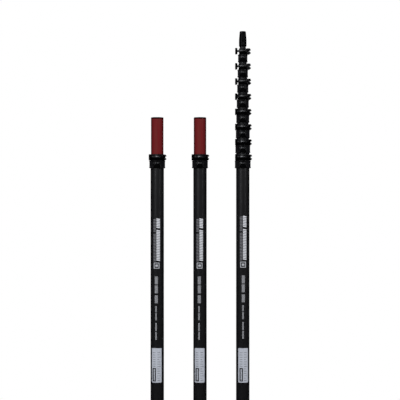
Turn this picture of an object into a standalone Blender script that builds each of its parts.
"""Telescopic carbon pole set, standing in a row: two extension poles with red joiner tubes, and one
nine-section telescopic pole. Each joint between two tubes has a lever clamp: a split nylon collar glued
to the outer tube, a swinging lever, and a T-bolt that draws the collar's two ears together.

Metres, +Z up along the poles, levers towards -Y. The origin is on the floor under the middle pole.
Section 1 is a pole's outermost tube, and clamp n sits on tube n and grips tube n + 1.
"""

import math

import bmesh
import bpy

# Layout
POLE_SPACING = 0.160
SECTIONS = 9
SIDES = 20  # of every tube, collar and bush, all in step, so that the running gaps stay even
FIT_GAP = 0.0003  # between pieces that are glued, or that rest on each other

# Tubes
BASE_RADIUS = 0.0250
RADIUS_STEP = 0.0017
WALL = 0.0012
BASE_LENGTH = 0.980
JOINER_STICKS_OUT = 0.138  # the red joiner tube, above its clamp

# End bung: a foot under the tube, and a hollow plug inside it that the first slide bush rests on
FOOT_RADIUS = 0.0285
FOOT_HEIGHT = 0.010
FOOT_CHAMFER = 0.002
PLUG_WALL = 0.0020

# Slide bush at the bottom of every inner tube: a flange under it, and a sleeve inside it that the next
# bush rests on
BUSH_FLANGE = 0.003
SLEEVE_WALL = 0.0016

# Clamp collar, heights above its own bottom edge. On the telescopic pole its neck goes on up to the collar
# above, which rests on it when the pole is slid home
CLAMP_PITCH = 0.0566
COLLAR_HEIGHT = 0.052
SKIRT_WALL = 0.0048
SKIRT_TOP = 0.0275
SKIRT_CHAMFER = 0.0011
SHOULDER = 0.026  # where the outer tube's end stops inside the skirt
RING_BOTTOM = 0.029
RING_SHOULDER = 0.0475  # where the ring's top cone begins
RING_GAP = 0.0004
RING_WALL = 0.0029
NECK_WALL = 0.0015
RELIEF_FROM_X = -0.004  # the slot that frees the ring from the skirt runs from here to +X

# Ears, split at Y 0, with an open slot that the T-bolt lies in
EAR_HALF_HEIGHT = 0.0105
EAR_TIP_HALF_HEIGHT = 0.0072
EAR_THICKNESS = 0.006
SPLIT_HALF = 0.0015
BOLT_SLOT_HALF = 0.0025
EAR_PAST_BOLT = 0.007
BASE_EAR_TIP = 0.0345  # how far the largest clamp's ears reach in X
TOP_EAR_TIP = 0.0296  # and the smallest clamp's

# Lever, heights from its own mid-height
LEVER_HEIGHT = 0.0405  # of its mid-height above the collar's bottom edge
LEVER_HALF_THICKNESS = 0.0018
LEVER_CLEARANCE = 0.0008
LOBE_RADIUS = 0.0044
CAM_OFFSET = 0.0006  # of the pivot from the lobes' centre, away from the ears
TAB_OUTER_X = 0.0276
EXTENSION_TAB_OUTER_X = 0.0302  # the extension poles' levers are longer
STRAIGHT_FROM = math.radians(50)  # round the arc from its front, past which the lever runs straight
TAB_WIDTH = 0.0056
TAB_HALF_HEIGHT = 0.012
STEM_HALF_HEIGHT = 0.0032
STEM_ROW = 0.0012  # between the stem's edge and the next row line, where nothing is solid
PRONG_HALF_HEIGHT = 0.0103
FORK_START = 0.0085  # along the lever from the lobes, where the slot between the prongs ends
FORK_ROOT = 0.0135  # and where the arm begins to widen
ARM_STEPS = 4
LOBE_ANGLES = (0.8, 1.25)  # radians round a lobe from the arm, each mirrored past its top

# T-bolt
PIVOT_RADIUS = 0.0021
PIVOT_HOLE_RADIUS = 0.0026
PIVOT_HALF_HEIGHT = 0.0101
PIN_SIDES = 10
SHANK_SIDES = 8
LOBE_SEAT_SIDES = 12
SHANK_RADIUS = 0.0018
NUT_RADIUS = 0.0036
NUT_THICKNESS = 0.0032
THREAD_PAST_NUT = 0.0015
SEAT_CLEARANCE = 0.0004  # around the nut and the lobes, in the ring

# Tip cone over the smallest tube
TIP_NECK = 0.0059  # of bare tube between the last clamp and the cone
TIP_HEIGHT = 0.058
TIP_SOCKET = 0.028
TIP_RADIUS = 0.0143
TIP_TAPER_FROM = 0.030
TIP_TOP_RADIUS = 0.0117
TIP_EDGE = 0.003
TIP_BORE_RADIUS = 0.0060

# End ring on top of a joiner tube
END_RING_HEIGHT = 0.004
END_RING_PLUG = 0.008
END_RING_WALL = 0.002

# Worked out from the above
TUBE_BOTTOM = FOOT_HEIGHT + FIT_GAP
BASE_TUBE_TOP = TUBE_BOTTOM + BASE_LENGTH
FIRST_COLLAR_BOTTOM = BASE_TUBE_TOP - SHOULDER + FIT_GAP
EAR_FACE = SPLIT_HALF + EAR_THICKNESS
LOBE_Y = -(EAR_FACE + FIT_GAP + LOBE_RADIUS)
PIVOT_Y = LOBE_Y - CAM_OFFSET


def tube_radius(section):
    return BASE_RADIUS - (section - 1) * RADIUS_STEP


def bore_radius(section):
    return tube_radius(section) - WALL


def collar_bottom(clamp):
    return FIRST_COLLAR_BOTTOM + (clamp - 1) * CLAMP_PITCH


def tube_top(section):
    """The top of a tube that carries a clamp: it stops under the collar's shoulder."""
    return collar_bottom(section) + SHOULDER - FIT_GAP


def tube_bottom(section):
    """Sections are of one length, so each stands a clamp's pitch higher than the one around it."""
    return TUBE_BOTTOM + (section - 1) * CLAMP_PITCH


def bush_bottom(section):
    return tube_bottom(section) - FIT_GAP - BUSH_FLANGE


def bolt_x(clamp):
    share = (clamp - 1) / (SECTIONS - 2)
    return BASE_EAR_TIP + share * (TOP_EAR_TIP - BASE_EAR_TIP) - EAR_PAST_BOLT


def ring_radius(clamp):
    return tube_radius(clamp + 1) + RING_GAP + RING_WALL


# Blender helpers


def clear_scene():
    for obj in list(bpy.data.objects):
        bpy.data.objects.remove(obj, do_unlink=True)


def make_material(name, colour, roughness, metallic=0.0):
    material = bpy.data.materials.new(name)
    material.use_nodes = True
    shader = material.node_tree.nodes["Principled BSDF"]
    shader.inputs["Base Color"].default_value = (*colour, 1.0)
    shader.inputs["Roughness"].default_value = roughness
    shader.inputs["Metallic"].default_value = metallic
    return material


def link_mesh(name, mesh, material, location=(0, 0, 0)):
    """A new object of this mesh. Round faces are smooth and edges over 35 degrees stay sharp."""
    if not mesh.materials:
        mesh.materials.append(material)
    mesh.shade_smooth()
    mesh.set_sharp_from_angle(angle=math.radians(35))
    obj = bpy.data.objects.new(name, mesh)
    obj.location = location
    bpy.context.scene.collection.objects.link(obj)
    return obj


def mesh_from(name, verts, faces):
    mesh = bpy.data.meshes.new(name)
    mesh.from_pydata(verts, [], faces)
    work = bmesh.new()
    work.from_mesh(mesh)
    bmesh.ops.recalc_face_normals(work, faces=work.faces)
    work.to_mesh(mesh)
    work.free()
    return mesh


def turned(name, profile, sides=SIDES):
    """A closed outline of (radius, height) points turned about Z. A radius of 0 closes it on the axis.
    Points that repeat the one before are dropped."""
    profile = [point for k, point in enumerate(profile) if point != profile[k - 1]]
    verts, rows = [], []
    for radius, height in profile:
        if radius == 0:
            rows.append([len(verts)] * sides)
            verts.append((0, 0, height))
            continue
        rows.append(list(range(len(verts), len(verts) + sides)))
        for k in range(sides):
            angle = 2 * math.pi * k / sides
            verts.append((radius * math.cos(angle), radius * math.sin(angle), height))
    faces = []
    for row, upper in zip(rows, rows[1:] + rows[:1]):
        for k in range(sides):
            corners = [row[k], row[(k + 1) % sides], upper[(k + 1) % sides], upper[k]]
            face = list(dict.fromkeys(corners))
            if len(face) > 2:
                faces.append(face)
    return mesh_from(name, verts, faces)


def prism(name, outline, axis, low, high):
    """A flat outline drawn out along an axis. Its points hold the other two coordinates, in X, Y, Z
    order."""
    verts = []
    for along in (low, high):
        for point in outline:
            corner = list(point)
            corner.insert("XYZ".index(axis), along)
            verts.append(corner)
    n = len(outline)
    sides = [[k, (k + 1) % n, n + (k + 1) % n, n + k] for k in range(n)]
    return mesh_from(name, verts, [list(range(n)), list(range(n, 2 * n)), *sides])


def block(name, low, high):
    outline = [(low[0], low[1]), (high[0], low[1]), (high[0], high[1]), (low[0], high[1])]
    return prism(name, outline, "Z", low[2], high[2])


def round_outline(centre, radius, sides, turn=0.0):
    angles = [2 * math.pi * (k + turn) / sides for k in range(sides)]
    return [(centre[0] + radius * math.cos(a), centre[1] + radius * math.sin(a)) for a in angles]


def boolean(base, others, operation):
    """The base mesh joined with the others, or cut by them, one after another."""
    for other in others:
        body = bpy.data.objects.new("body", base)
        tool = bpy.data.objects.new("tool", other)
        for obj in (body, tool):
            bpy.context.scene.collection.objects.link(obj)
        modifier = body.modifiers.new("boolean", "BOOLEAN")
        modifier.operation = operation
        modifier.object = tool
        graph = bpy.context.evaluated_depsgraph_get()
        result = bpy.data.meshes.new_from_object(body.evaluated_get(graph))
        result.name = base.name
        bpy.data.objects.remove(body)
        bpy.data.objects.remove(tool)
        base = result
    return base


# Parts. Each mesh has the pole's axis at X 0, Y 0, and its height as its comment says.


def tube_mesh(name, section, length):
    """A plain tube, with its bottom at Z 0."""
    outer, inner = tube_radius(section), bore_radius(section)
    return turned(name, [(outer, 0), (outer, length), (inner, length), (inner, 0)])


def bung_mesh(name):
    """The foot stands on Z 0, and the plug is open at its top."""
    plug = bore_radius(1) - FIT_GAP
    top = bush_bottom(2) - FIT_GAP
    return turned(
        name,
        [
            (0, 0),
            (FOOT_RADIUS - FOOT_CHAMFER, 0),
            (FOOT_RADIUS, FOOT_CHAMFER),
            (FOOT_RADIUS, FOOT_HEIGHT),
            (plug, FOOT_HEIGHT),
            (plug, top),
            (plug - PLUG_WALL, top),
            (plug - PLUG_WALL, FOOT_HEIGHT),
            (0, FOOT_HEIGHT),
        ],
    )


def bush_mesh(name, section):
    """A flange that runs in the outer tube, and a sleeve inside its own tube. Its bottom is at Z 0."""
    flange = bore_radius(section - 1) - FIT_GAP
    sleeve = bore_radius(section) - FIT_GAP
    top = CLAMP_PITCH - FIT_GAP
    return turned(
        name,
        [
            (sleeve - SLEEVE_WALL, 0),
            (flange, 0),
            (flange, BUSH_FLANGE),
            (sleeve, BUSH_FLANGE),
            (sleeve, top),
            (sleeve - SLEEVE_WALL, top),
        ],
    )


def end_ring_mesh(name, section):
    """A ring that caps a joiner tube, with a plug below Z 0 inside the tube."""
    outer, plug = tube_radius(section), bore_radius(section) - FIT_GAP
    return turned(
        name,
        [
            (plug, -END_RING_PLUG),
            (plug, FIT_GAP),
            (outer, FIT_GAP),
            (outer, END_RING_HEIGHT),
            (plug - END_RING_WALL, END_RING_HEIGHT),
            (plug - END_RING_WALL, -END_RING_PLUG),
        ],
    )


def tip_mesh(name):
    """The tapered tip, with its bottom at Z 0: a socket over the last tube and a bore for the hose."""
    socket = tube_radius(SECTIONS) + FIT_GAP
    return turned(
        name,
        [
            (TIP_RADIUS - TIP_EDGE / 2, 0),
            (TIP_RADIUS, TIP_EDGE / 2),
            (TIP_RADIUS, TIP_TAPER_FROM),
            (TIP_TOP_RADIUS, TIP_HEIGHT - TIP_EDGE),
            (TIP_TOP_RADIUS - TIP_EDGE / 2, TIP_HEIGHT),
            (TIP_BORE_RADIUS, TIP_HEIGHT),
            (TIP_BORE_RADIUS, TIP_SOCKET),
            (socket, TIP_SOCKET),
            (socket, 0),
        ],
    )


def collar_mesh(name, clamp, neck_top):
    """The skirt, glued over tube n, and the split ring with its two ears and its neck. Its bottom edge is
    at Z 0."""
    skirt = tube_radius(clamp) + SKIRT_WALL
    socket = tube_radius(clamp) + FIT_GAP
    ring, bore = ring_radius(clamp), tube_radius(clamp + 1) + RING_GAP
    body = turned(
        name,
        [
            (skirt - SKIRT_CHAMFER, 0),
            (skirt, SKIRT_CHAMFER),
            (skirt, SKIRT_TOP - SKIRT_CHAMFER),
            (skirt - SKIRT_CHAMFER, SKIRT_TOP),
            (ring, RING_BOTTOM),
            (ring, RING_SHOULDER),
            (bore + NECK_WALL, COLLAR_HEIGHT),
            (bore + NECK_WALL, neck_top),
            (bore, neck_top),
            (bore, SHOULDER),
            (socket, SHOULDER),
            (socket, 0),
        ],
    )
    bolt = bolt_x(clamp)
    tip = bolt + EAR_PAST_BOLT
    low, high = LEVER_HEIGHT - EAR_HALF_HEIGHT, LEVER_HEIGHT + EAR_HALF_HEIGHT
    tip_low, tip_high = LEVER_HEIGHT - EAR_TIP_HALF_HEIGHT, LEVER_HEIGHT + EAR_TIP_HALF_HEIGHT
    root = bore + NECK_WALL / 2
    ears = [(root, low), (bolt, low), (tip, tip_low), (tip, tip_high), (bolt, high), (root, high)]
    body = boolean(body, [prism("ears", ears, "Y", -EAR_FACE, EAR_FACE)], "UNION")
    past = 2 * EAR_FACE
    slot_low, slot_high = LEVER_HEIGHT - BOLT_SLOT_HALF, LEVER_HEIGHT + BOLT_SLOT_HALF
    nut = NUT_RADIUS + SEAT_CLEARANCE
    lobe = LOBE_RADIUS + CAM_OFFSET + SEAT_CLEARANCE
    cuts = [
        block(
            "relief",
            (RELIEF_FROM_X, -skirt - past, SKIRT_TOP),
            (tip + past, skirt + past, RING_BOTTOM),
        ),
        block(
            "split",
            (bore / 2, -SPLIT_HALF, SKIRT_TOP + FIT_GAP),
            (tip + past, SPLIT_HALF, COLLAR_HEIGHT + past),
        ),
        block(
            "bolt_slot",
            (bolt - BOLT_SLOT_HALF, -past, slot_low),
            (tip + past, past, slot_high),
        ),
        block(
            "nut_seat",
            (bolt - nut * math.cos(math.pi / 6), EAR_FACE, LEVER_HEIGHT - nut),
            (tip + past, past, LEVER_HEIGHT + nut),
        ),
        prism(
            "lobe_seat",
            round_outline((bolt, PIVOT_Y), lobe, LOBE_SEAT_SIDES),
            "Z",
            RING_BOTTOM - FIT_GAP,
            COLLAR_HEIGHT,
        ),
    ]
    return boolean(body, cuts, "DIFFERENCE")


def lever_arc(clamp):
    """The centre Y and radius of the lever's arc, through the lobes' centre and clear of the ring."""
    front = ring_radius(clamp) + LEVER_CLEARANCE + LEVER_HALF_THICKNESS
    centre = (bolt_x(clamp) ** 2 + LOBE_Y**2 - front**2) / (2 * (front + LOBE_Y))
    return centre, centre + front


def lever_length(clamp, tab_x):
    """How far along the lever it is from the lobes' centre to this distance to -X of the pole's axis."""
    _, radius = lever_arc(clamp)
    turn = math.asin(bolt_x(clamp) / radius)
    bent_x = radius * math.sin(STRAIGHT_FROM)
    if tab_x <= bent_x:
        return radius * (turn + math.asin(tab_x / radius))
    return radius * (turn + STRAIGHT_FROM) + (tab_x - bent_x) / math.cos(STRAIGHT_FROM)


def lever_point(clamp, along, outward):
    """X and Y, from the pole's axis, of a point this far along the lever from the lobes' centre and this
    far outward of its mid-thickness. Past STRAIGHT_FROM the lever follows the arc's tangent."""
    centre, radius = lever_arc(clamp)
    angle = math.asin(bolt_x(clamp) / radius) - along / radius
    past = radius * max(-STRAIGHT_FROM - angle, 0)
    angle = max(angle, -STRAIGHT_FROM)
    reach = radius + outward
    x = reach * math.sin(angle) - past * math.cos(angle)
    y = centre - reach * math.cos(angle) - past * math.sin(angle)
    return x, y


def lever_stations(clamp, tab_outer_x):
    """Stations along the lever from its tab to its lobes: distance along it before the lobes' centre,
    half thickness, the heights of its row lines above mid-height, and which rows are solid from here on.
    The rows are the slot's half, the prong and the tab's outer part, each mirrored below."""
    tab_end = lever_length(clamp, tab_outer_x)
    tab_root = lever_length(clamp, tab_outer_x - TAB_WIDTH)
    thin = LEVER_HALF_THICKNESS
    tab_lines = (STEM_HALF_HEIGHT, PRONG_HALF_HEIGHT, TAB_HALF_HEIGHT)
    stem_lines = (STEM_HALF_HEIGHT, STEM_HALF_HEIGHT + STEM_ROW, TAB_HALF_HEIGHT)
    fork_lines = (BOLT_SLOT_HALF, PRONG_HALF_HEIGHT, TAB_HALF_HEIGHT)
    stations = [(tab_end, thin, tab_lines, (1, 1, 1)), (tab_root, thin, tab_lines, (1, 0, 0))]
    for k in range(1, ARM_STEPS):
        along = tab_root + (FORK_ROOT - tab_root) * k / ARM_STEPS
        stations.append((along, thin, stem_lines, (1, 0, 0)))
    stations.append((FORK_ROOT, thin, stem_lines, (1, 1, 0)))
    stations.append((FORK_START, thin, fork_lines, (0, 1, 0)))
    past_top = tuple(math.pi - angle for angle in reversed(LOBE_ANGLES))
    lobe_angles = (math.asin(thin / LOBE_RADIUS), *LOBE_ANGLES, *past_top)
    for angle in lobe_angles:
        along, half = LOBE_RADIUS * math.cos(angle), LOBE_RADIUS * math.sin(angle)
        stations.append((along, half, fork_lines, (0, 1, 0)))
    stations.append((-LOBE_RADIUS * math.cos(lobe_angles[0]), thin, fork_lines, (0, 0, 0)))
    return stations


def edge_loop(a, b):
    """The corners of a wall between two points of the lever's grid, from its inner side to its outer."""
    return ((a, -1), (b, -1), (b, 1), (a, 1))


def lever_mesh(name, clamp, tab_outer_x):
    """The lever, bent round the ring's front: a T-shaped finger tab, a stem, and a fork whose two lobes
    turn on the T-bolt. Its mid-height is at Z 0 and its pivot is at the origin."""
    stations = lever_stations(clamp, tab_outer_x)
    verts, faces = [], []

    def corner(station, line, side):
        along, half, lines, _ = stations[station]
        x, y = lever_point(clamp, along, side * half)
        height = math.copysign(lines[abs(line) - 1], line)
        verts.append((x - bolt_x(clamp), y - PIVOT_Y, height))
        return len(verts) - 1

    corners = {
        (s, line, side): corner(s, line, side)
        for s in range(len(stations))
        for line in (-3, -2, -1, 1, 2, 3)
        for side in (-1, 1)
    }
    rows = [(-3, -2, 2), (-2, -1, 1), (-1, 1, 0), (1, 2, 1), (2, 3, 2)]

    def solid(station, row):
        if not (0 <= station < len(stations) - 1 and 0 <= row < len(rows)):
            return False
        return bool(stations[station][3][rows[row][2]])

    for s in range(len(stations) - 1):
        for r, (low, high, _) in enumerate(rows):
            if not solid(s, r):
                continue
            around = ((s, low), (s + 1, low), (s + 1, high), (s, high))
            for side in (-1, 1):
                faces.append([corners[(*point, side)] for point in around])
            walls = (
                (solid(s - 1, r), ((s, low), (s, high))),
                (solid(s + 1, r), ((s + 1, low), (s + 1, high))),
                (solid(s, r - 1), ((s, low), (s + 1, low))),
                (solid(s, r + 1), ((s, high), (s + 1, high))),
            )
            for covered, (a, b) in walls:
                if not covered:
                    faces.append([corners[(*point, side)] for point, side in edge_loop(a, b)])
    used = sorted({v for face in faces for v in face})
    index = {v: k for k, v in enumerate(used)}
    plate = mesh_from(name, [verts[v] for v in used], [[index[v] for v in face] for face in faces])
    hole_outline = round_outline((0, 0), PIVOT_HOLE_RADIUS, PIN_SIDES)
    hole = prism("hole", hole_outline, "Z", -TAB_HALF_HEIGHT, TAB_HALF_HEIGHT)
    return boolean(plate, [hole], "DIFFERENCE")


def bolt_mesh(name):
    """The T-bolt: the lever's pivot pin, the shank that lies in the ears' slots, and its nut. The pin
    is at the origin and the shank runs along +Y."""
    nut_near = EAR_FACE + FIT_GAP - PIVOT_Y
    end = nut_near + NUT_THICKNESS + THREAD_PAST_NUT
    pin_outline = round_outline((0, 0), PIVOT_RADIUS, PIN_SIDES)
    pin = prism(name, pin_outline, "Z", -PIVOT_HALF_HEIGHT, PIVOT_HALF_HEIGHT)
    shank = prism("shank", round_outline((0, 0), SHANK_RADIUS, SHANK_SIDES, 0.5), "Y", 0, end)
    hexagon = round_outline((0, 0), NUT_RADIUS, 6, 0.5)
    nut = prism("nut", hexagon, "Y", nut_near, nut_near + NUT_THICKNESS)
    return boolean(pin, [shank, nut], "UNION")


# Assemblies


def shared(meshes, key, build, *sizes):
    """The mesh stored under this key, built the first time it is asked for."""
    if key not in meshes:
        meshes[key] = build(key, *sizes)
    return meshes[key]


def place_clamp(prefix, suffix, clamp, sizes, x, materials, meshes):
    """A collar, its lever and its T-bolt, on the pole whose axis is at this X. sizes holds how far out
    the lever's tab reaches and how high the collar's neck does."""
    tab_outer_x, neck_top = sizes
    collar = shared(meshes, f"collar_{clamp}_{neck_top}", collar_mesh, clamp, neck_top)
    lever = shared(meshes, f"lever_{clamp}_{tab_outer_x}", lever_mesh, clamp, tab_outer_x)
    bolt = shared(meshes, "bolt", bolt_mesh)
    bottom = collar_bottom(clamp)
    pivot = (x + bolt_x(clamp), PIVOT_Y, bottom + LEVER_HEIGHT)
    link_mesh(f"{prefix}_clamp_collar{suffix}", collar, materials["nylon"], (x, 0, bottom))
    link_mesh(f"{prefix}_clamp_lever{suffix}", lever, materials["nylon"], pivot)
    link_mesh(f"{prefix}_clamp_bolt{suffix}", bolt, materials["steel"], pivot)


def place_extension(prefix, x, materials, meshes):
    """An extension pole: one outer tube, and a joiner tube that plugs into the next pole."""
    tube = tube_mesh(f"{prefix}_tube", 1, BASE_LENGTH)
    link_mesh(f"{prefix}_tube", tube, materials["carbon"], (x, 0, TUBE_BOTTOM))
    place_clamp(prefix, "", 1, (EXTENSION_TAB_OUTER_X, COLLAR_HEIGHT), x, materials, meshes)
    joiner_top = collar_bottom(1) + COLLAR_HEIGHT + JOINER_STICKS_OUT - END_RING_HEIGHT
    joiner = tube_mesh(f"{prefix}_joiner_tube", 2, joiner_top - tube_bottom(2))
    link_mesh(f"{prefix}_joiner_tube", joiner, materials["red"], (x, 0, tube_bottom(2)))
    ring = shared(meshes, "end_ring", end_ring_mesh, 2)
    link_mesh(f"{prefix}_joiner_end_ring", ring, materials["nylon"], (x, 0, joiner_top))
    bush = shared(meshes, "bush_2", bush_mesh, 2)
    link_mesh(f"{prefix}_joiner_bush", bush, materials["nylon"], (x, 0, bush_bottom(2)))
    bung = shared(meshes, "bung", bung_mesh)
    link_mesh(f"{prefix}_end_bung", bung, materials["rubber"], (x, 0, 0))


def place_pole(prefix, x, materials, meshes):
    """The telescopic pole, with every section slid home."""
    base = tube_mesh(f"{prefix}_tube_1", 1, BASE_LENGTH)
    link_mesh(f"{prefix}_tube_1", base, materials["carbon"], (x, 0, TUBE_BOTTOM))
    bung = shared(meshes, "bung", bung_mesh)
    link_mesh(f"{prefix}_end_bung", bung, materials["rubber"], (x, 0, 0))
    for clamp in range(1, SECTIONS):
        neck_top = COLLAR_HEIGHT if clamp == SECTIONS - 1 else CLAMP_PITCH - FIT_GAP
        place_clamp(prefix, f"_{clamp}", clamp, (TAB_OUTER_X, neck_top), x, materials, meshes)
    tip_bottom = collar_bottom(SECTIONS - 1) + COLLAR_HEIGHT + TIP_NECK
    for section in range(2, SECTIONS + 1):
        bottom = tube_bottom(section)
        top = tip_bottom + TIP_SOCKET - FIT_GAP if section == SECTIONS else tube_top(section)
        tube = tube_mesh(f"{prefix}_tube_{section}", section, top - bottom)
        link_mesh(f"{prefix}_tube_{section}", tube, materials["carbon"], (x, 0, bottom))
        bush = shared(meshes, f"bush_{section}", bush_mesh, section)
        place = (x, 0, bush_bottom(section))
        link_mesh(f"{prefix}_slide_bush_{section}", bush, materials["nylon"], place)
    cone = tip_mesh(f"{prefix}_tip_cone")
    link_mesh(f"{prefix}_tip_cone", cone, materials["nylon"], (x, 0, tip_bottom))


def main():
    clear_scene()
    materials = {
        "carbon": make_material("carbon", (0.016, 0.016, 0.018), 0.38),
        "red": make_material("red_joiner", (0.15, 0.013, 0.016), 0.42),
        "nylon": make_material("black_nylon", (0.010, 0.010, 0.011), 0.45),
        "rubber": make_material("black_rubber", (0.014, 0.014, 0.014), 0.75),
        "steel": make_material("black_steel", (0.20, 0.20, 0.21), 0.35, 1.0),
    }
    meshes = {}
    place_extension("left", -POLE_SPACING, materials, meshes)
    place_extension("middle", 0.0, materials, meshes)
    place_pole("pole", POLE_SPACING, materials, meshes)


main()
